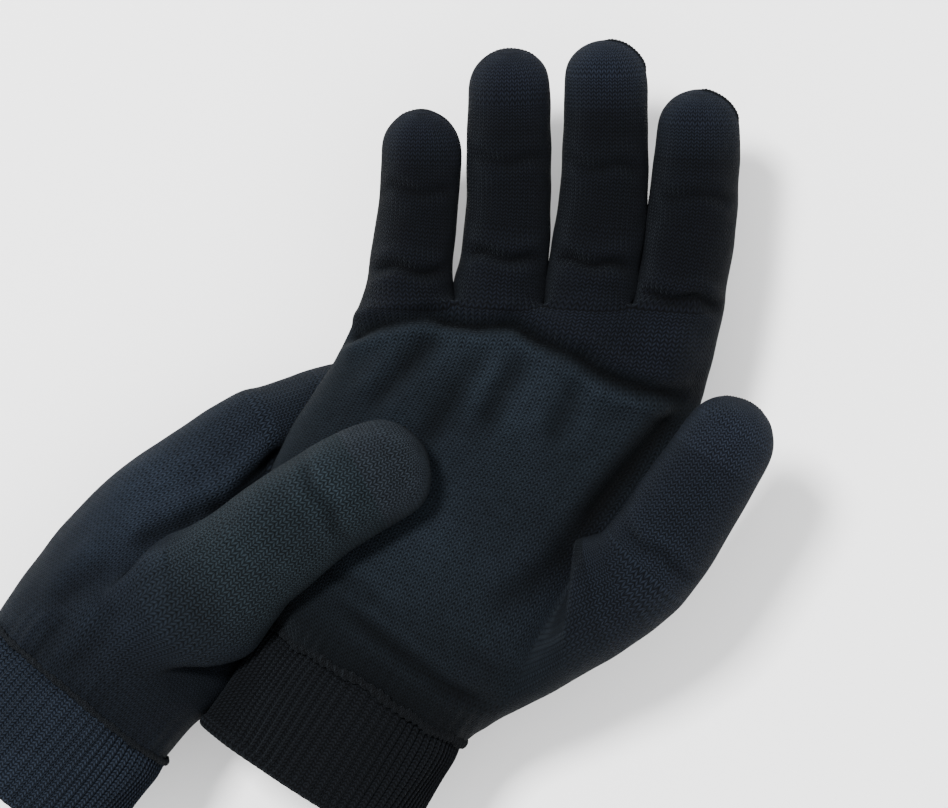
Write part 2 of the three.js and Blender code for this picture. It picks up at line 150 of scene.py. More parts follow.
LEFT = {
    "side": "left",
    "mirror": -1,
    "hem": (-75, 0.5, 0),
    "arm_yaw": 50.3,
    "rows": [
        ((-33.6, 6.3, 0), (-76.3, 41.7, 0), 16.9, 0),
        ((-26.5, 16.0, -5), (-70.5, 51.0, 2), 16.8, 0.3),
        ((-20.0, 20.5, -12), (-60.0, 64.0, 1), 16.0, 0.38),
        ((-11.5, 23.0, -20), (-49.0, 76.0, 1), 14.8, 0.3),
        ((-5.0, 23.5, -26), (-36.0, 86.0, -3), 14.0, 0),
        ((0.0, 21.5, -29), (-25.0, 93.0, -7), 12.6, 0),
        ((5.0, 18.8, -32.5), (-14.5, 99.8, -10.5), 11.0, 0),
    ],
    "patch": (1, 3),
    "patch_turn": 1,
    "thumb_skew": ("sin", [(14, -4.5, 1.26), (21, -2, 1.15), (29, 0, 1.05)]),
    "web": (-4.5, 58.8, -21.6),
    "web_step": (-5, 20.4, 5.8),
    "finger_side": (-0.1, 0.97, 0.2),
    "pressed": [10, 12, 12],
    "digits": {
        "little": {"wide": 9.7, "thick": 9.2, "legs": [(19, 14, -1), (16, 10, 2), (15, 2, 1)]},
        "ring": {"wide": 10.0, "thick": 9.4, "legs": [(19, 15, -4), (18, 11, 3), (18, 3, 2), (12, 0, 1)]},
        "middle": {"wide": 10.1, "thick": 9.5, "legs": [(21, 17, -12), (18, 12, -3), (20, 3, 0), (14, 0, 1)]},
        "index": {"wide": 10.1, "thick": 9.4, "legs": [(22, 18, -23), (17, 12, -15), (16, 5, 0), (12, 0, 0)]},
        "thumb": {
            "wide": 15.6,
            "thick": 11.0,
            "narrowing": 0.2,
            "start": (-33, 41, 0),
            "side": (0.6, -0.78, 0),
            "legs": [(24.5, 35.5, 38), (27, 40, 22), (34, 29, -3)],
            "split": 38,
        },
    },
}


# ---------------------------------------------------------------------------
# Vectors and paths
# ---------------------------------------------------------------------------

def unit(v):
    v = np.asarray(v, float)
    return v / np.linalg.norm(v)


def direction(yaw, pitch):
    y, p = math.radians(yaw), math.radians(pitch)
    return np.array([math.cos(p) * math.cos(y), math.cos(p) * math.sin(y), math.sin(p)])


class Path:
    """A smooth path through points, with a width direction, measured along its length in mm."""

    def __init__(self, points, side, wide, thick, narrowing):
        points = np.array(points, float)
        padded = np.vstack([2 * points[0] - points[1], points, 2 * points[-1] - points[-2]])
        samples = []
        for i in range(len(points) - 1):
            p0, p1, p2, p3 = padded[i:i + 4]
            for t in np.linspace(0, 1, 20, endpoint=False):
                samples.append(0.5 * (2 * p1 + (p2 - p0) * t + (2 * p0 - 5 * p1 + 4 * p2 - p3) * t ** 2
                                      + (3 * p1 - p0 - 3 * p2 + p3) * t ** 3))
        samples.append(points[-1])
        self.points = np.array(samples)
        steps = np.linalg.norm(np.diff(self.points, axis=0), axis=1)
        self.marks = np.concatenate([[0], np.cumsum(steps)])
        self.length = self.marks[-1]
        self.side = np.array(side, float)
        self.wide = wide
        self.thick = thick
        self.narrowing = narrowing
        self.neighbours = {}

    def at(self, s):
        """Centre, forward, side, half width and half thickness at length s."""
        held = min(max(s, 0.0), self.length)
        centre = np.array([np.interp(held, self.marks, self.points[:, k]) for k in range(3)])
        near = np.array([np.interp(held - 1, self.marks, self.points[:, k]) for k in range(3)])
        far = np.array([np.interp(held + 1, self.marks, self.points[:, k]) for k in range(3)])
        forward = unit(far - near)
        side = unit(self.side - forward * self.side.dot(forward))
        share = held / self.length
        return (centre + forward * (s - held), forward, side,
                self.wide * (1 - self.narrowing * share), self.thick * (1 - THINNING * share))


def walk(start, legs):
    points = [np.array(start, float)]
    for length, yaw, pitch in legs:
        points.append(points[-1] + direction(yaw, pitch) * length)
    return points


# ---------------------------------------------------------------------------
# The cage: a coarse quad mesh of a whole glove, which subdivision makes smooth
# ---------------------------------------------------------------------------

class Cage:
    def __init__(self):
        self.points = []
        self.faces = []
        self.regions = []
        self.uvs = []
        self.names = []

    def point(self, p):
        self.points.append(np.array(p, float))
        return len(self.points) - 1

    def region(self, name):
        if name not in self.names:
            self.names.append(name)
        return self.names.index(name)

    def strip(self, low, high, low_v, high_v, region, skip=()):
        """Quads between two closed rings with the same number of points."""
        number = self.region(region)
        for k in range(len(low)):
            if k in skip:
                continue
            n = (k + 1) % len(low)
            self.faces.append((low[k], low[n], high[n], high[k]))
            left, right = k * WALES, (k + 1) * WALES
            self.uvs.append([(left, low_v), (right, low_v), (right, high_v), (left, high_v)])
            self.regions.append(number)


def column_place(k, spread):
    """Sideways place from -1 to 1 and height from -1 to 1 of a cage point around a palm."""
    if k == 9:
        return 1.0, 0.0
    if k == 19:
        return -1.0, 0.0
    step = k if k < 9 else 18 - k
    x = -0.92 + 0.23 * step
    x = math.copysign(abs(x) ** (1 - spread), x)
    height = (1 - min(abs(x), 0.97) ** 2.5) ** 0.42
    return x, height if k < 9 else -height


def palm_rings(hand, cage):
    rings, marks = [], []
    travelled = 0.0
    middles = [(np.array(r[0]) + np.array(r[1])) / 2 for r in hand["rows"]]
    for j, (little, index, thick, spread) in enumerate(hand["rows"]):
        little, index = np.array(little, float), np.array(index, float)
        ahead = unit(middles[min(j + 1, len(middles) - 1)] - middles[max(j - 1, 0)])
        if j == 0:
            ahead = direction(hand["arm_yaw"], 0)
        middle, half = middles[j], (index - little) / 2 * TWENTY
        palm = unit(np.cross(half, ahead)) * hand["mirror"]
        if j:
            travelled += np.linalg.norm(middle - middles[j - 1])
        ring = []
        last = j == len(hand["rows"]) - 1
        for k in range(COLUMNS):
            x, height = column_place(k, spread)
            step = k if k < 9 else 18 - k
            if last and k not in (9, 19) and step % 2 == 0 and 0 < step < 8:
                height *= VALLEY
            ring.append(cage.point(middle + half * x + palm * thick * height))
        rings.append(ring)
        marks.append(travelled / COURSE)
    return rings, marks


def widened(path, s, towards_index):
    """Half width of a finger on one side, where its neighbour presses against it."""
    _, _, side, wide, _ = path.at(s)
    if towards_index not in path.neighbours:
        return wide
    other, until = path.neighbours[towards_index]
    share = min(max((until + PRESS_FADE - s) / PRESS_FADE, 0), 1)
    gap = other.at(s)[0] - path.at(s)[0]
    half = (abs(gap.dot(side)) / 2 - PRESS_GAP) * (1 + CROTCH_GAIN * max(0, 1 - s / CROTCH_REACH))
    return wide + (half - wide) * share


def octagon(path, s, angles, shrink=1.0, skew=None):
    """Eight points around a digit at length s. A skew moves one side ahead and the other back."""
    points = []
    for a in angles:
        c, sn = math.cos(math.radians(a)), math.sin(math.radians(a))
        here = s
        if skew:
            here += skew[1] * (c if skew[0] == "cos" else sn)
        centre, forward, side, _, thick = path.at(here)
        palm = unit(np.cross(side, forward)) * path.palm_sign
        x = c * widened(path, here, c > 0) * OCTAGON * shrink
        y = sn * thick * OCTAGON * shrink
        points.append(centre + side * x + palm * y)
    return points


def stops_for(path, first, split, touch):
    """(length, shrink) of each ring along a digit, from the first past its root to the tip."""
    body_end = path.length - (TOUCH_LENGTH if touch else PLAIN_TIP)
    stops = list(first)
    count = max(1, round((body_end - split) / RING_STEP))
    stops += [(split + (body_end - split) * i / count, 1.0) for i in range(1, count + 1)]
    stops += [(path.length - back, shrink) for back, shrink in TIP_RINGS]
    return stops


def digit_tube(hand, cage, digit, path, root, angles, root_v, first, split, skews):
    """Rings and quads of a digit, from its root ring to the closed tip."""
    name = f"{hand['side']}_{digit}"
    touch = digit in TOUCH_DIGITS
    touch_from = path.length - TOUCH_LENGTH if touch else math.inf
    low, low_v = root, root_v
    for i, (s, shrink) in enumerate(stops_for(path, first, split, touch)):
        skew = (skews[0], skews[1][i][1]) if skews and i < len(skews[1]) else None
        high = [cage.point(p) for p in octagon(path, s, angles, shrink, skew)]
        steps = [np.linalg.norm(cage.points[a] - cage.points[b]) for a, b in zip(low, high)]
        high_v = low_v + float(np.median(steps)) / COURSE
        if digit == "thumb" and i < 2:
            region = f"{hand['side']}_hand_body"
        elif s <= split + 0.01:
            region = f"{name}_base_tube"
        elif s <= touch_from + 0.01:
            region = f"{name}_end_tube"
        else:
            region = f"{name}_touch_tip"
        cage.strip(low, high, low_v, high_v, region)
        low, low_v = high, high_v
    hub = cage.point(path.at(path.length + CROWN)[0])
    number = cage.region(region)
    for k in range(0, 8, 2):
        cage.faces.append((low[k], low[(k + 1) % 8], low[(k + 2) % 8], hub))
        u = k * WALES
        cage.uvs.append([(u, low_v), (u + WALES, low_v), (u + 2 * WALES, low_v), (u + WALES, low_v + 4)])
        cage.regions.append(number)


def finger_paths(hand):
    for f, digit in enumerate(FINGERS):
        spec = hand["digits"][digit]
        start = np.array(hand["web"], float) + np.array(hand["web_step"], float) * (f - 1.5)
        points = walk(start, spec["legs"])
        path = Path(points, hand["finger_side"], spec["wide"], spec["thick"], FINGER_NARROWING)
        path.palm_sign = hand["mirror"]
        hand["paths"][digit] = path
    paths = [hand["paths"][digit] for digit in FINGERS]
    for f in range(3):
        paths[f].neighbours[True] = (paths[f + 1], hand["pressed"][f])
        paths[f + 1].neighbours[False] = (paths[f], hand["pressed"][f])
    return paths


def add_fingers(hand, cage, rings, web_v):
    """Four tubes on the palm's last ring, with a shared point between each two."""
    web = rings[-1]
    web_middle = np.mean([cage.points[i] for i in web], axis=0)
    back = unit(np.mean([cage.points[i] for i in rings[-2]], axis=0) - web_middle)
    between = [web[19]]
    for f in range(3):
        palm_side, back_side = web[2 * f + 2], web[16 - 2 * f]
        between.append(cage.point((cage.points[palm_side] + cage.points[back_side]) / 2 + back * WEB_DIP))
    between.append(web[9])
    angles = [135, 90, 45, 0, -45, -90, -135, 180]
    first = [(s, 1.0) for s in WEB_RINGS + [SPLIT]]
    for f, path in enumerate(finger_paths(hand)):
        root = [web[2 * f], web[2 * f + 1], web[2 * f + 2], between[f + 1],
                web[16 - 2 * f], web[17 - 2 * f], web[18 - 2 * f], between[f]]
        digit_tube(hand, cage, FINGERS[f], path, root, angles, web_v, first, SPLIT, None)


def add_thumb(hand, cage, rings, marks):
    """A tube on the edge of the opening that the palm's strips leave."""
    row, c = hand["patch"]
    spec = hand["digits"]["thumb"]
    points = walk(spec["start"], spec["legs"])
    path = Path(points, spec["side"], spec["wide"], spec["thick"], spec["narrowing"])
    path.palm_sign = 1
    hand["paths"]["thumb"] = path
    a, m, b = rings[row], rings[row + 1], rings[row + 2]
    root = [a[c], a[c + 1], a[c + 2], m[c + 2], b[c + 2], b[c + 1], b[c], m[c]]
    angles = [45 + 45 * hand["patch_turn"] * i for i in range(8)]
    skews = hand["thumb_skew"]
    first = [(s, flare) for s, _, flare in skews[1]]
    first.append(((first[-1][0] + spec["split"]) / 2, 1.0))
    first.append((spec["split"], 1.0))
    digit_tube(hand, cage, "thumb", path, root, angles, marks[row], first, spec["split"], skews)


def build_cage(hand):
    cage = Cage()
    rings, marks = palm_rings(hand, cage)
    row, column = hand["patch"]
    for j in range(len(rings) - 1):
        skip = (column, column + 1) if j in (row, row + 1) else ()
        cage.strip(rings[j], rings[j + 1], marks[j], marks[j + 1], f"{hand['side']}_hand_body", skip)
    hand["paths"] = {}
    add_fingers(hand, cage, rings, marks[-1])
    add_thumb(hand, cage, rings, marks)
    return cage


def subdivide(cage, name):
    """The cage as a smooth surface: points, normals, quads, uvs and region of every face."""
    mesh = bpy.data.meshes.new(name)
    mesh.from_pydata([tuple(p * MM) for p in cage.points], [], cage.faces)
    layer = mesh.uv_layers.new(name="Knit")
    layer.data.foreach_set("uv", np.array(cage.uvs, np.float32).ravel())
    for _ in cage.names:
        mesh.materials.append(None)
    mesh.polygons.foreach_set("material_index", np.array(cage.regions, np.int32))
    obj = bpy.data.objects.new(name, mesh)
    bpy.context.scene.collection.objects.link(obj)
    modifier = obj.modifiers.new("Subdivision", "SUBSURF")
    modifier.levels = SUBDIVISION
    modifier.uv_smooth = "NONE"
    done = obj.evaluated_get(bpy.context.evaluated_depsgraph_get()).to_mesh()
    points = np.zeros(len(done.vertices) * 3)
    done.vertices.foreach_get("co", points)
    loops = np.zeros(len(done.loops), np.int64)
    done.loops.foreach_get("vertex_index", loops)
    uvs = np.zeros(len(done.loops) * 2)
    done.uv_layers[0].data.foreach_get("uv", uvs)
    regions = np.zeros(len(done.polygons), np.int64)
    done.polygons.foreach_get("material_index", regions)
    bpy.data.objects.remove(obj)
    surface = {"points": points.reshape(-1, 3) / MM, "quads": loops.reshape(-1, 4),
               "uvs": uvs.reshape(-1, 4, 2), "regions": regions}
    surface["normals"] = normals_of(surface)
    return surface


def normals_of(surface):
    p, q = surface["points"], surface["quads"]
    face = np.cross(p[q[:, 2]] - p[q[:, 0]], p[q[:, 3]] - p[q[:, 1]])
    normals = np.zeros_like(p)
    for k in range(4):
        np.add.at(normals, q[:, k], face)
    normals /= np.maximum(np.linalg.norm(normals, axis=1, keepdims=True), 1e-12)
    middle = p.mean(0)
    if ((p - middle) * normals).sum() < 0:
        normals = -normals
    return normals


# ---------------------------------------------------------------------------
# Meshes from arrays
# ---------------------------------------------------------------------------

def make_object(name, points_mm, quads, uvs, values):
    """A smooth-shaded mesh object. values is {attribute name: one number, or one for each point}."""
    mesh = bpy.data.meshes.new(name)
    mesh.vertices.add(len(points_mm))
    mesh.vertices.foreach_set("co", (np.asarray(points_mm) * MM).astype(np.float32).ravel())
    mesh.loops.add(quads.size)
    mesh.loops.foreach_set("vertex_index", quads.astype(np.int32).ravel())
    mesh.polygons.add(len(quads))
    mesh.polygons.foreach_set("loop_start", np.arange(0, quads.size, 4, dtype=np.int32))
    mesh.polygons.foreach_set("loop_total", np.full(len(quads), 4, np.int32))
    mesh.polygons.foreach_set("use_smooth", np.ones(len(quads), bool))
    layer = mesh.uv_layers.new(name="Knit")
    layer.data.foreach_set("uv", np.asarray(uvs, np.float32).ravel())
    for key, numbers in values.items():
        numbers = np.broadcast_to(np.asarray(numbers, np.float32), (len(points_mm),))
        mesh.attributes.new(key, "FLOAT", "POINT").data.foreach_set("value", np.ascontiguousarray(numbers))
    mesh.update(calc_edges=True)
    mesh.validate()
    obj = bpy.data.objects.new(name, mesh)
    bpy.context.scene.collection.objects.link(obj)
    return obj


def grid_quads(rows, around, closed_rows=False):
    """Quads of a grid that closes around, and also along when closed_rows."""
    quads = []
    for r in range(rows if closed_rows else rows - 1):
        n = (r + 1) % rows
        for k in range(around):
            m = (k + 1) % around
            quads.append((r * around + k, r * around + m, n * around + m, n * around + k))
    return np.array(quads)


def grid_uvs(rows, around, u_span, v_span, closed_rows=False):
    uvs = []
    steps = rows if closed_rows else rows - 1
    for r in range(steps):
        v0, v1 = v_span * r / steps, v_span * (r + 1) / steps
        for k in range(around):
            u0, u1 = u_span * k / around, u_span * (k + 1) / around
            uvs.append([(u0, v0), (u1, v0), (u1, v1), (u0, v1)])
    return np.array(uvs)


# ---------------------------------------------------------------------------
# Shape of the worn fabric: folds, bulges and unevenness
# ---------------------------------------------------------------------------

def near_line(points, line):
    """Distance in XY from each point to a polyline, and the share of the way along it."""
    line = np.array(line, float)
    best = np.full(len(points), 1e9)
    share = np.zeros(len(points))
    for i in range(len(line) - 1):
        a, d = line[i], line[i + 1] - line[i]
        t = np.clip(((points[:, :2] - a) @ d) / d.dot(d), 0, 1)
        gap = np.linalg.norm(points[:, :2] - (a + t[:, None] * d), axis=1)
        closer = gap < best
        best[closer] = gap[closer]
        share[closer] = (i + t[closer]) / (len(line) - 1)
    return best, share


def fold(points, line, deep, wide, lip=0.45):
    """A crease along a line that fades at both ends, with a raised lip on both sides."""
    gap, share = near_line(points, line)
    fade = np.clip(np.sin(np.pi * np.clip(share, 0.02, 0.98)) * 1.6, 0, 1)
    groove = np.exp(-(gap / wide) ** 2)
    lips = np.exp(-((gap - 2.1 * wide) / (1.1 * wide)) ** 2)
    return fade * deep * (lip * lips - groove)


def bump(points, centre, radius, rise):
    gap = np.linalg.norm(points[:, :2] - np.array(centre), axis=1)
    return rise * np.exp(-(gap / radius) ** 2)


def waves(points, size, seed):
    """Smooth unevenness between -1 and 1 from a few crossing sine waves."""
    rng = np.random.default_rng(seed)
    total = np.zeros(len(points))
    for _ in range(7):
        heading = unit(rng.normal(size=3)) * 2 * math.pi / (size * rng.uniform(0.7, 1.6))
        total += np.sin(points @ heading + rng.uniform(0, 6.28))
    return total / 4.5


# Beside the thumb's root, across the palm.
THUMB_VALLEY = [(99, 98), (88, 86), (77, 73), (67, 60)]
# Under the finger pads, past which the palm and the fingers are drawn darker.
PAD_LINE = [(10, 112), (20, 115.5), (34, 118), (44, 115), (55, 115.5), (63, 110), (73, 105), (88, 98.5),
            (96, 97)]
# Lines in XY, then depth and half width of the crease.
RIGHT_FOLDS = [
    ([(8, 111), (20, 115.5), (36, 118)], 2.9, 1.7),
    ([(31, 117.5), (44, 115), (57, 115.5)], 3.3, 1.8),
    ([(52, 116), (63, 110), (75, 104.5)], 3.8, 2.0),
    ([(69, 106), (80, 101), (88, 98.5), (98, 97)], 3.8, 2.0),
    ([(45, 88), (50, 98), (57.5, 109)], 1.7, 2.8),
    ([(16, 93), (26, 104), (36, 115)], 1.7, 2.4),
    ([(28, 82), (38, 96), (47, 111)], 1.4, 2.8),
    ([(62, 84), (66, 94), (71, 104)], 1.3, 2.8),
    (THUMB_VALLEY, 2.6, 3.0),
    ([(70, 64), (64, 56), (55, 49), (45, 44)], 1.1, 3.2),
    ([(8, 49), (22, 37), (38, 25), (47, 21)], 1.6, 1.7),
    ([(2, 57), (14, 51), (24, 43)], 0.7, 1.8),
    ([(38, 38), (48, 30), (57, 27)], 0.6, 2.0),
]
RIGHT_BUMPS = [
    ((25, 121.5), 6.5, 1.8), ((49, 123), 7, 2.1), ((71.5, 117.5), 8, 2.5), ((92, 109), 8.5, 2.6),
    ((60, 98), 11, 1.0), ((30, 62), 16, 1.0), ((24, 96), 8, 0.8), ((44, 102), 7, 0.7), ((55, 34), 12, 1.0),
]
LEFT_FOLDS = [
    ([(-25, 67), (-17, 70), (-8, 79), (-1, 86)], 2.4, 2.6),
    ([(-42, 60), (-32, 64), (-22, 68)], 1.5, 2.6),
    ([(-61, 45), (-52, 52), (-44, 57)], 0.9, 2.6),
    ([(-58, 28), (-50, 36), (-44, 46)], 0.7, 2.4),
    ([(-70, 30), (-62, 36), (-56, 44)], 0.7, 2.2),
]
LEFT_BUMPS = [((-40, 76), 12, 1.2), ((-12, 60), 10, 0.6), ((-50, 60), 9, 0.8), ((-48, 38), 10, 0.8)]
# Creases across the digits, as shares of the way from the web (or the thumb's root) to the tip.
CREASES = {
    "right": {"little": [0.16, 0.58], "ring": [0.17, 0.56], "middle": [0.14, 0.52], "index": [0.0, 0.5],
              "thumb": [0.42]},
    "left": {"little": [0.4, 0.7], "ring": [0.35, 0.65], "middle": [0.35, 0.65], "index": [0.35, 0.65],
             "thumb": [0.5]},
}
GATHER_PITCH = 2.9        # mm between the fine gathers above a cuff seam
GATHER_DEPTH = 0.2
GATHER_REACH = 11


def digit_points(surface, side, digit):
    """Which points lie on a digit's tubes and tip."""
    on = np.zeros(len(surface["points"]), bool)
    for part in TUBE_PARTS:
        on |= surface["in_region"].get(f"{side}_{digit}_{part}", False)
    return on


def past_seam(hand, points):
    """Distance from the cuff seam towards the fingers."""
    return (points - np.array(hand["hem"])) @ direction(hand["arm_yaw"], 0) - CUFF_LENGTH


def creases_of(hand, surface, k, digit, path):
    """How far the creases across one digit move each point."""
    p, n = surface["points"], surface["normals"]
    inner = 0.0 if digit != "thumb" else 30.0
    body = surface["in_region"][f"{hand['side']}_hand_body"]
    own = (body | digit_points(surface, hand["side"], digit)).astype(float)
    move = np.zeros(len(p))
    for j, share in enumerate(CREASES[hand["side"]][digit]):
        centre, forward, side, wide, _ = path.at(inner + (path.length - inner) * share)
        local = p - centre
        gap = local @ forward + 0.6 * np.sin((local @ side) * 0.5 + k + j)
        near = np.exp(-(np.abs(local @ side) / (wide * 0.82)) ** 6) * own
        palm = np.clip((n @ (np.cross(side, forward) * path.palm_sign)) * 1.5, 0, 1)
        strong = 2.2 if j == 0 and digit != "thumb" and hand["side"] == "right" else 1.0
        crease = 0.5 * np.exp(-((np.abs(gap) - 3.4) / 2.2) ** 2) - np.exp(-(gap / 1.5) ** 2)
        move += near * palm * strong * crease
    return move


def gathers_of(hand, surface):
    """Fine gathers where the hand is sewn to the cuff."""
    p = surface["points"]
    above = past_seam(hand, p)
    across = p @ direction(hand["arm_yaw"] - 90, 0) + 0.5 * np.sin(above / 4)
    ripple = np.cos(2 * math.pi * across / GATHER_PITCH) * (0.75 + 0.5 * np.sin(across / 3.1))
    body = surface["in_region"][f"{hand['side']}_hand_body"]
    return body * GATHER_DEPTH * ripple * np.exp(-(above / GATHER_REACH) ** 2)


def sculpt(hand, surface):
    """Moves the smooth surface along its normals, in mm."""
    p, n = surface["points"], surface["normals"]
    up = np.clip(n[:, 2] * 1.6, 0, 1)
    folds, bumps = (RIGHT_FOLDS, RIGHT_BUMPS) if hand["side"] == "right" else (LEFT_FOLDS, LEFT_BUMPS)
    thumb = digit_points(surface, hand["side"], "thumb")
    move = np.zeros(len(p))
    for line, deep, wide in folds:
        move += np.where(thumb, 0, up * fold(p, line, deep, wide))
    for centre, radius, rise in bumps:
        move += np.where(thumb, 0, up * bump(p, centre, radius, rise))
    for k, (digit, path) in enumerate(hand["paths"].items()):
        move += creases_of(hand, surface, k, digit, path)
    move += 0.35 * waves(p, 22, 11 + hand["mirror"]) + 0.12 * waves(p, 7, 21 + hand["mirror"])
    move += gathers_of(hand, surface)
    surface["points"] = p + n * move[:, None]
    surface["sunk"] = move
    surface["normals"] = normals_of(surface)


def dip(points, centre, radius):
    """1 at a centre in XY, fading to 0 around it."""
    return np.exp(-(np.linalg.norm((points - np.array(centre))[:, :2], axis=1) / radius) ** 2)


def thumb_tone(right, path, p, on, ends, look):
    """Painted light makes the thumb lighter towards its end; this tone fades into the palm's around its root.
    """
    start = 18 if right else 6
    centre, forward, _, wide, _ = path.at(start)
    along = (p - centre) @ forward
    share = np.clip(along / 26, 0, 1)
    middle = np.clip(along, 0, path.length - start)[:, None] * forward + centre
    share *= np.where(on, 1, np.exp(-(np.linalg.norm((p - middle)[:, :2], axis=1) / (wide * 1.2)) ** 4))
    # Painted light: the thumb is drawn lighter than the hand, most at its end.
    goal = (0.9 + 0.55 * ends) if right else (1.2 + 0.25 * ends)
    look["tone"] += share * (goal - look["tone"])
    look["blue"] += share * ((0.7 if right else 0.05) - look["blue"])
    look["stretch"] *= 1 - share


def digit_tones(hand, surface, look):
    p, side = surface["points"], hand["side"]
    right = side == "right"
    for digit, path in hand["paths"].items():
        on = digit_points(surface, side, digit)
        inner = path.at(0.0 if digit != "thumb" else 34.0)[0]
        tip = path.at(path.length)[0]
        along = np.clip(((p - inner) @ unit(tip - inner)) / np.linalg.norm(tip - inner), 0, 1.1)
        ends = np.clip((along - 0.66) / 0.34, 0, 1)
        if digit == "thumb":
            thumb_tone(right, path, p, on, ends, look)
        elif right:
            # Painted shade along the right fingers, and a painted highlight that lightens them towards their
            # tips.
            look["tone"][on] = 0.3 + 1.15 * ends[on] ** 1.3
            look["blue"][on] = 0.9
            look["stretch"][on] = 0
        else:
            look["tone"][on] = 1.0 - 0.3 * along[on] + 0.4 * ends[on]
            look["stretch"][on] = 0


def right_palm_tones(hand, surface, look):
    """Darker at the cuff, past the pad line, in the thumb's valley, at the heel and at one edge."""
    p = surface["points"]
    heights = np.interp(p[:, 0], [q[0] for q in PAD_LINE], [q[1] for q in PAD_LINE])
    beyond = np.clip((p[:, 1] - heights + 1) / 4, 0, 1)
    valley = near_line(p, THUMB_VALLEY)[0]
    # Painted shade over the gathers above the cuff seam.
    shade = 1 - 0.7 * np.exp(-(past_seam(hand, p) / 16) ** 2)
    shade *= 1 - 0.55 * beyond
    # Painted shade in the thumb's valley.
    shade *= 1 - 0.5 * np.exp(-(valley / 9) ** 2)
    shade *= 1 - 0.38 * dip(p, (56, 28, 0), 24)
    shade *= 1 - 0.3 * dip(p, (27, 98, 0), 15)
    body = surface["in_region"]["right_hand_body"]
    look["tone"] *= np.where(body, shade, 1)
    look["blue"] += np.where(body, 0.5 * beyond, 0)
    look["stretch"] *= np.where(body, 1 - beyond, 1)


def left_hand_tones(hand, surface, look):
    """Painted light on the upper side, which is drawn lighter, and darker at the wrist."""
    p = surface["points"]
    near_web = np.zeros(len(p))
    for digit in FINGERS:
        web = hand["paths"][digit].at(0)[0]
        near_web = np.maximum(near_web, np.exp(-(np.linalg.norm(p - web, axis=1) / 13) ** 2))
    look["stretch"] *= np.where(surface["in_region"]["left_hand_body"], 1 - near_web, 1)
    # Painted light: the side of the hand towards the upper left is drawn lighter.
    upper = np.clip((p[:, :2] @ np.array([-0.64, 0.77]) - 48) / 28, 0, 1)
    wrist = np.maximum(past_seam(hand, p) - 4, 0)
    look["tone"] *= (1 + 0.35 * upper) * (1 - 0.42 * np.exp(-(wrist / 30) ** 2))


def look_of(hand, surface):
    """At each point: lightness, painted light and shade included, how far the knit is stretched, and how blue
    it is.
    """
    right = hand["side"] == "right"
    count = len(surface["points"])
    look = {
        "tone": np.full(count, 0.95 if right else 1.0),
        "stretch": surface["in_region"][f"{hand['side']}_hand_body"].astype(float),
        "blue": np.full(count, 0.35 if right else 0.6),
    }
    digit_tones(hand, surface, look)
    if right:
        right_palm_tones(hand, surface, look)
    else:
        left_hand_tones(hand, surface, look)
    # Painted shade: fabric sunk into a crease is drawn darker, and raised fabric lighter.
    look["tone"] = np.clip(look["tone"] * (1 + 0.30 * np.clip(surface["sunk"], -2.6, 1.5)), 0.12, 2)
    look["blue"] = np.clip(look["blue"], 0, 1)
    return look


# ---------------------------------------------------------------------------
# Materials
# ---------------------------------------------------------------------------

class Nodes:
    """Builds a node material. Sockets and numbers can be mixed in every call."""

    def __init__(self, name):
        self.material = bpy.data.materials.new(name)
        self.material.use_nodes = True
        self.tree = self.material.node_tree
        self.shader = self.tree.nodes["Principled BSDF"]

    def put(self, socket, value):
        if isinstance(value, bpy.types.NodeSocket):
            self.tree.links.new(value, socket)
        else:
            socket.default_value = value

    def math(self, operation, a, b=0.0, c=0.0, clamp=False):
        node = self.tree.nodes.new("ShaderNodeMath")
        node.operation = operation
        node.use_clamp = clamp
        for socket, value in zip(node.inputs, (a, b, c)):
            self.put(socket, value)
        return node.outputs[0]

    def mix(self, share, a, b):
        node = self.tree.nodes.new("ShaderNodeMix")
        node.data_type = "RGBA"
        self.put(node.inputs[0], share)
        self.put(node.inputs[6], a)
        self.put(node.inputs[7], b)
        return node.outputs[2]

    def attribute(self, name):
        node = self.tree.nodes.new("ShaderNodeAttribute")
        node.attribute_name = name
        return node.outputs["Fac"]

    def uv(self):
        node = self.tree.nodes.new("ShaderNodeUVMap")
        node.uv_map = "Knit"
        split = self.tree.nodes.new("ShaderNodeSeparateXYZ")
        self.tree.links.new(node.outputs[0], split.inputs[0])
        return split.outputs[0], split.outputs[1]

    def noise(self, scale, detail):
        node = self.tree.nodes.new("ShaderNodeTexNoise")
        node.inputs["Scale"].default_value = scale
        node.inputs["Detail"].default_value = detail
        place = self.tree.nodes.new("ShaderNodeTexCoord")
        self.put(node.inputs["Vector"], place.outputs["Object"])
        return node.outputs["Fac"]

    def centred(self, value, gain):
        """A value around 0.5, moved to lie around 0 and multiplied."""
        return self.math("MULTIPLY", self.math("SUBTRACT", value, 0.5), gain)

    def cell(self, u, v):
        """A random number for each stitch."""
        join = self.tree.nodes.new("ShaderNodeCombineXYZ")
        self.put(join.inputs[0], self.math("FLOOR", u))
        self.put(join.inputs[1], self.math("FLOOR", v))
        node = self.tree.nodes.new("ShaderNodeTexWhiteNoise")
        node.noise_dimensions = "2D"
        self.put(node.inputs["Vector"], join.outputs[0])
        return node.outputs["Value"]

    def bump(self, height, distance):
        node = self.tree.nodes.new("ShaderNodeBump")
        node.inputs["Strength"].default_value = 1.0
        node.inputs["Distance"].default_value = distance
        self.put(node.inputs["Height"], height)
        self.put(self.shader.inputs["Normal"], node.outputs[0])

    def finish(self, color, roughness, sheen, tint):
        self.put(self.shader.inputs["Base Color"], color)
        self.put(self.shader.inputs["Roughness"], roughness)
        self.shader.inputs["Specular IOR Level"].default_value = 0.06
        self.shader.inputs["Sheen Weight"].default_value = sheen
        self.shader.inputs["Sheen Roughness"].default_value = 0.45
        self.shader.inputs["Sheen Tint"].default_value = (*tint, 1)
        return self.material


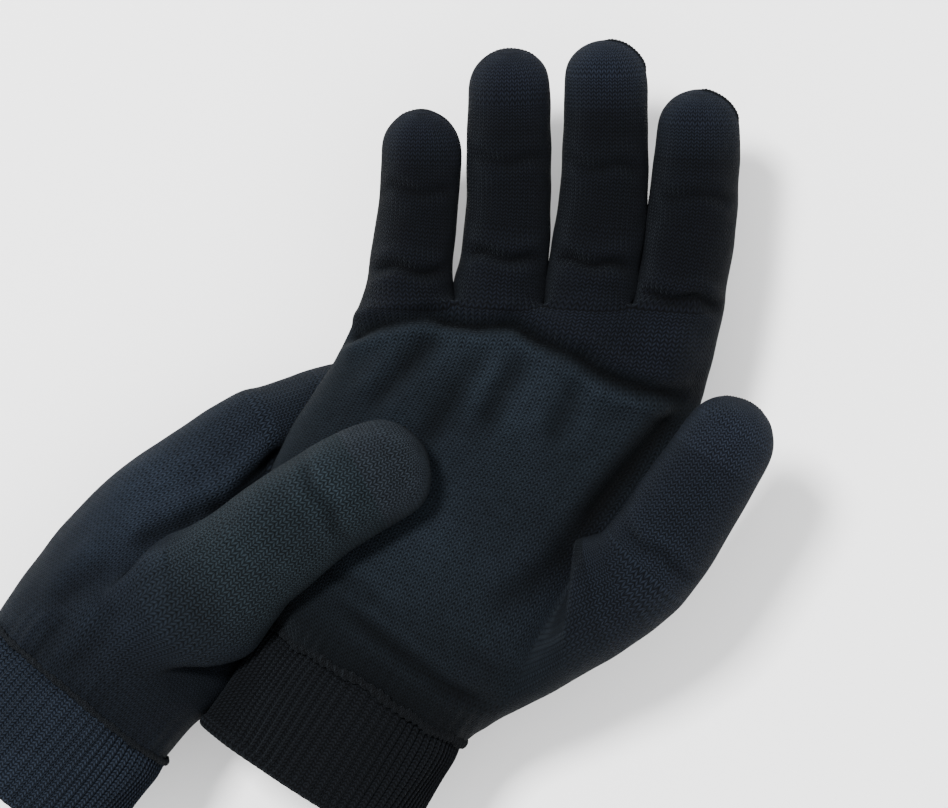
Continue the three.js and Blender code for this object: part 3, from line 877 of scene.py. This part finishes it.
def knit_height(n, u, v, slope):
    """Height from 0 to 1 of stocking stitch: two slanted legs in every wale."""
    across = n.math("ABSOLUTE", n.math("SUBTRACT", n.math("FRACT", u), 0.5))
    phase = n.math("ADD", v, n.math("MULTIPLY", across, slope))
    leg = n.math("MULTIPLY_ADD", n.math("COSINE", n.math("MULTIPLY", phase, 2 * math.pi)), 0.5, 0.5)
    off = n.math("MULTIPLY", n.math("SUBTRACT", across, 0.25), 4.0)
    ridge = n.math("SUBTRACT", 1.0, n.math("MULTIPLY", off, off), clamp=True)
    return n.math("MULTIPLY", n.math("POWER", leg, 0.6), n.math("POWER", ridge, 0.6))


def knit_material(name, yarn, cool, slope=1.5, depth=0.34):
    """Knit whose colour goes from yarn to cool. depth is the height of the stitches in mm."""
    n = Nodes(name)
    u, v = n.uv()
    u = n.math("ADD", u, n.centred(n.noise(60.0, 2.0), 0.35))
    v = n.math("ADD", v, n.centred(n.noise(85.0, 2.0), 0.7))
    # Stretched knit shows its courses more than its stitches.
    courses = n.math("MULTIPLY_ADD", n.math("COSINE", n.math("MULTIPLY", v, 2 * math.pi)), 0.5, 0.5)
    share = n.math("MULTIPLY", n.attribute("stretch"), 0.3)
    stitches = n.math("MULTIPLY", knit_height(n, u, v, slope), n.math("SUBTRACT", 1.0, share))
    height = n.math("ADD", stitches, n.math("MULTIPLY", courses, share))
    fuzz = n.noise(2600.0, 4.0)
    # Painted shade: colour follows the stitch height, so the grooves between stitches are drawn darker.
    level = n.math("MULTIPLY_ADD", height, 1.7, 0.14)
    level = n.math("ADD", level, n.centred(n.cell(u, v), 0.22))
    level = n.math("ADD", level, n.centred(fuzz, 0.9))
    level = n.math("MAXIMUM", level, 0.08)
    shade = n.math("MULTIPLY", level, n.math("MULTIPLY_ADD", n.noise(38.0, 4.0), 0.5, 0.75))
    shade = n.math("MULTIPLY", shade, n.attribute("tone"))
    shaded = n.tree.nodes.new("ShaderNodeVectorMath")
    shaded.operation = "SCALE"
    n.put(shaded.inputs[0], n.mix(n.attribute("blue"), (*yarn, 1), (*cool, 1)))
    n.put(shaded.inputs["Scale"], shade)
    n.bump(n.math("ADD", height, n.math("MULTIPLY", fuzz, 0.35)), depth * MM)
    rough = n.math("MULTIPLY_ADD", fuzz, 0.16, 0.8)
    return n.finish(shaded.outputs[0], rough, 0.018, (0.45, 0.55, 0.66))


TEAL = (0.0040, 0.0062, 0.0078)
NAVY = (0.0038, 0.0049, 0.0086)
MATERIALS = {
    "hand": knit_material("navy_stocking_stitch", TEAL, NAVY),
    "rib": knit_material("navy_rib_knit", (0.0034, 0.0041, 0.0054), (0.0030, 0.0042, 0.0066), 1.2, 0.3),
    "seam": knit_material("overlock_yarn", (0.0048, 0.0058, 0.0072), (0.0048, 0.0058, 0.0076), 2.0, 0.4),
    "touch": knit_material("conductive_knit", (0.0050, 0.0066, 0.0086), (0.0047, 0.0064, 0.0108)),
}


# ---------------------------------------------------------------------------
# Pieces
# ---------------------------------------------------------------------------

def dress(obj, material, slot, *nodes):
    obj.data.materials.clear()
    obj.data.materials.append(MATERIALS[material])
    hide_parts(*nodes)


def region_points(surface, names, name):
    return np.unique(surface["quads"][surface["regions"] == names.index(name)])


def glove_surface(hand):
    cage = build_cage(hand)
    surface = subdivide(cage, hand["side"] + "_cage")
    surface["names"] = cage.names
    surface["in_region"] = {}
    for name in cage.names:
        mask = np.zeros(len(surface["points"]), bool)
        mask[region_points(surface, cage.names, name)] = True
        surface["in_region"][name] = mask
    sculpt(hand, surface)
    surface["look"] = look_of(hand, surface)
    return surface


def cut_piece(surface, name):
    number = surface["names"].index(name)
    faces = surface["regions"] == number
    quads = surface["quads"][faces]
    used, flat = np.unique(quads, return_inverse=True)
    values = {key: numbers[used] for key, numbers in surface["look"].items()}
    return make_object(name + "_knit", surface["points"][used], flat.reshape(-1, 4),
                       surface["uvs"][faces], values)


def bend_piece(obj, surface, hand, digit, part):
    """Finds the rim where a tube meets the body behind it, and its normal; then bakes the tube's placement.
    """
    name = f"{hand['side']}_{digit}_{part}_tube"
    behind = f"{hand['side']}_hand_body" if part == "base" else f"{hand['side']}_{digit}_base_tube"
    path = hand["paths"][digit]
    rim = surface["in_region"][name] & surface["in_region"][behind]
    rim_points = surface["points"][rim]
    own = surface["points"][surface["in_region"][name]]
    centre = rim_points.mean(0)
    _, _, vectors = np.linalg.svd(rim_points - centre)
    normal = vectors[2] * np.sign(vectors[2].dot(own.mean(0) - centre))
    if part == "base" and digit != "thumb":
        normal = path.at(8)[1]
    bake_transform(obj)


def add_knit_pieces(hand, surface):
    side = hand["side"]
    body = cut_piece(surface, f"{side}_hand_body")
    dress(body, "hand", "knit_hand", f"{side}_hand_body", f"{side}_thumb_root")
    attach(body, f"{side}_hand")
    for digit in DIGITS:
        for part in ("base", "end"):
            obj = cut_piece(surface, f"{side}_{digit}_{part}_tube")
            dress(obj, "hand", "knit_hand", f"{side}_{digit}_{part}_tube")
            bend_piece(obj, surface, hand, digit, part)
        if digit in TOUCH_DIGITS:
            obj = cut_piece(surface, f"{side}_{digit}_touch_tip")
            dress(obj, "touch", "conductive_knit", f"{side}_{digit}_touch_tip")
            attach(obj, f"{side}_{digit}_end")


def cuff_point(hand, s, turn, lift):
    """A point of the cuff: s from the hem, a share of a turn around, lift out from its surface."""
    armward, across = direction(hand["arm_yaw"], 0), direction(hand["arm_yaw"] - 90, 0)
    share = s / CUFF_LENGTH
    wide = CUFF_WIDE * (1 - CUFF_WIDTH_LOSS * share) + lift
    thick = CUFF_THICK * (1 - CUFF_THICK_LOSS * share) + lift
    c, sn = math.cos(2 * math.pi * turn), math.sin(2 * math.pi * turn)
    x = math.copysign(abs(c) ** CUFF_CORNER, c) * wide
    z = math.copysign(abs(sn) ** CUFF_CORNER, sn) * thick
    return np.array(hand["hem"], float) + armward * s + across * x + np.array([0, 0, 1.0]) * z


def cuff_look(side):
    right = side == "right"
    return {"tone": 0.52 if right else 1.85, "stretch": 0.0, "blue": 0.2 if right else 1.0}


def rib_lift(turn):
    """Height of the 1x1 rib at a share of the way around."""
    wave = math.cos(2 * math.pi * RIBS * turn)
    return RIB_HEIGHT * math.copysign(abs(wave) ** 0.7, wave)


def gather(turn, share):
    """Slow unevenness around the cuff, which drifts a little along it."""
    return 0.25 * math.sin(2 * math.pi * turn * 9 + share * 2) + 0.2 * math.sin(turn * 31 + share * 7)


def add_ring_piece(hand, name, rings, spans, material, slot, look):
    """A closed tube bent around the cuff: one list of points for each ring, and stitches both ways."""
    side = hand["side"]
    around = len(rings[0])
    points = [point for ring in rings for point in ring]
    quads = grid_quads(len(rings), around, closed_rows=True)
    uvs = grid_uvs(len(rings), around, *spans, closed_rows=True)
    obj = make_object(f"{side}_{name}", points, quads, uvs, look)
    dress(obj, material, slot, f"{side}_" + name.rsplit("_", 1)[0])
    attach(obj, f"{side}_hand")


def add_cuff(hand):
    turns = [k / (RIBS * RIB_POINTS) for k in range(RIBS * RIB_POINTS)]
    stops = np.linspace(2.6, CUFF_LENGTH - 0.3, 22)
    rings = []
    for inner in (False, True):
        for s in stops if not inner else stops[::-1]:
            share = (s - stops[0]) / (stops[-1] - stops[0])
            pull = 0.9 * math.exp(-((1 - share) * 9) ** 2) + (CUFF_WALL if inner else 0)
            rib = -0.6 if inner else 1
            rings.append([cuff_point(hand, s, t, rib_lift(t) * rib + gather(t, share) - pull) for t in turns])
    add_ring_piece(hand, "rib_cuff_knit", rings, (RIBS * 2, 60), "rib", "knit_rib", cuff_look(hand["side"]))


def add_hem(hand):
    turns = [k / (RIBS * RIB_POINTS) for k in range(RIBS * RIB_POINTS)]
    sides = 14
    rings = []
    for j in range(sides):
        c, sn = math.cos(2 * math.pi * j / sides), math.sin(2 * math.pi * j / sides)
        rib = 0.75 if sn > 0 else 0.2
        out = HEM_RADIUS * sn - 0.5
        place = 1.5 + 1.55 * c
        rings.append([cuff_point(hand, place, t, gather(t, 0) + out + rib_lift(t) * rib) for t in turns])
    add_ring_piece(hand, "cuff_hem_knit", rings, (RIBS * 2, 8), "rib", "knit_rib", cuff_look(hand["side"]))


def add_cuff_seam(hand):
    """The overlocked ridge: a round bead wrapped in slanted thread. The left one is smaller."""
    right = hand["side"] == "right"
    scale, sunk = (1.0, 0.0) if right else (0.66, -0.12)
    around, sides = 900, 10
    rings = []
    for j in range(sides):
        a = 2 * math.pi * j / sides
        ring = []
        for k in range(around):
            turn = k / around
            full = 2 * math.pi * turn
            size = (SEAM_RADIUS + 0.17 * math.cos(SEAM_WRAPS * full + a) + 0.14 * math.sin(23 * full)) * scale
            wander = (0.4 * math.sin(5 * full) + 0.25 * math.sin(13 * full)) * scale ** 3
            s = CUFF_LENGTH + wander + 1.5 * size * math.cos(a)
            ring.append(cuff_point(hand, s, turn, 0.05 + sunk + size * math.sin(a)))
        rings.append(ring)
    look = {"tone": 0.42 if right else 0.8, "stretch": 0.0, "blue": 0.8}
    add_ring_piece(hand, "cuff_seam_thread", rings, (SEAM_WRAPS * 2, 6), "seam", "seam_thread", look)


def tip_seam_angles(hand, digit):
    """The closing seam sits on the thumb side of the right middle and index tips."""
    if hand["side"] == "right" and digit in ("middle", "index"):
        return 0, 95
    if digit == "thumb":
        return 60, 140
    return 35, 135


def tip_seam_size(hand, digit):
    """Radius in mm: it stands out only where the finger is closed by a raised seam."""
    return 0.6 if hand["side"] == "right" and digit in ("middle", "index") else 0.3


def add_tip_seam(hand, tree, digit):
    """A thin cord over a tip: rays from inside the tip find the surface that it lies on."""
    side = hand["side"]
    path = hand["paths"][digit]
    centre, forward, across, wide, _ = path.at(path.length - TIP_SEAM_BACK)
    palm = unit(np.cross(across, forward)) * path.palm_sign
    low, high = tip_seam_angles(hand, digit)
    if side == "left" and digit != "thumb":
        across = -across
    steps, sides = 90, 8
    spine, outs = [], []
    for i in range(steps):
        a = math.radians(low + (high - low) * i / (steps - 1))
        ray = unit(across * math.cos(a) * 1.1 + forward * math.sin(a) + palm * 0.12)
        hit = tree.ray_cast(Vector(centre), Vector(ray))[0]
        spine.append(np.array(hit) if hit else centre + ray * wide)
        outs.append(ray)
    points = []
    for i in range(steps):
        share = i / (steps - 1)
        taper = min(1, 6 * share + 0.15, 6 * (1 - share) + 0.15)
        tangent = unit(spine[min(i + 1, steps - 1)] - spine[max(i - 1, 0)])
        flat = unit(np.cross(tangent, outs[i]))
        size = (tip_seam_size(hand, digit) + 0.07 * math.cos(2 * math.pi * i / 5)) * taper
        for k in range(sides):
            a = 2 * math.pi * k / sides
            points.append(spine[i] + outs[i] * (size * math.cos(a) - 0.12) + flat * size * 1.1 * math.sin(a))
    quads = grid_quads(steps, sides)
    uvs = grid_uvs(steps, sides, 3, 24)
    obj = make_object(f"{side}_{digit}_tip_seam_thread", points, quads, uvs,
                      {"tone": 0.75, "stretch": 0.0, "blue": 0.4})
    dress(obj, "seam", "seam_thread", f"{side}_{digit}_tip_seam")
    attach(obj, f"{side}_{digit}_end")


def add_glove(hand):
    surface = glove_surface(hand)
    add_knit_pieces(hand, surface)
    add_cuff(hand)
    add_hem(hand)
    add_cuff_seam(hand)
    tree = BVHTree.FromPolygons([Vector(p) for p in surface["points"]], surface["quads"].tolist())
    for digit in DIGITS:
        add_tip_seam(hand, tree, digit)


# ---------------------------------------------------------------------------
# Studio
# ---------------------------------------------------------------------------

# In metres. The camera looks straight down.
VIEW_CENTRE = Vector((0.0435, 0.0955, 0))
VIEW_WIDTH = 0.237
CAMERA_HEIGHT = 0.95
SENSOR = 36
FLOOR_GAP = 0.005
FLOOR_HALF = 4.0


def add_floor():
    low = CAD_BOX[0][2] - FLOOR_GAP
    mesh = bpy.data.meshes.new("floor")
    corners = [(x * FLOOR_HALF, y * FLOOR_HALF, low) for x, y in ((-1, -1), (1, -1), (1, 1), (-1, 1))]
    mesh.from_pydata(corners, [], [(0, 1, 2, 3)])
    floor = bpy.data.objects.new("floor", mesh)
    bpy.context.scene.collection.objects.link(floor)
    n = Nodes("pale_floor")
    n.put(n.shader.inputs["Base Color"], (0.93, 0.93, 0.935, 1))
    n.put(n.shader.inputs["Roughness"], 0.8)
    floor.data.materials.append(n.material)


def add_light(name, place, size, power):
    data = bpy.data.lights.new(name, "AREA")
    data.size = size
    data.energy = power
    light = bpy.data.objects.new(name, data)
    light.location = place
    aim = VIEW_CENTRE - Vector(place)
    light.rotation_euler = aim.to_track_quat("-Z", "Y").to_euler()
    bpy.context.scene.collection.objects.link(light)


def add_studio():
    add_floor()
    add_light("key", (-0.36, 0.5, 1.45), 0.25, 58)
    add_light("fill", (0.4, 0.0, 1.5), 1.6, 18)
    world = bpy.data.worlds.new("studio")
    world.use_nodes = True
    world.node_tree.nodes["Background"].inputs["Color"].default_value = (1, 1, 1, 1)
    world.node_tree.nodes["Background"].inputs["Strength"].default_value = 1.15
    bpy.context.scene.world = world
    data = bpy.data.cameras.new("camera")
    data.sensor_width = SENSOR
    data.lens = SENSOR * CAMERA_HEIGHT / VIEW_WIDTH
    camera = bpy.data.objects.new("camera", data)
    camera.location = VIEW_CENTRE + Vector((0, 0, CAMERA_HEIGHT))
    bpy.context.scene.collection.objects.link(camera)
    bpy.context.scene.camera = camera


add_glove(RIGHT)
add_glove(LEFT)
add_studio()
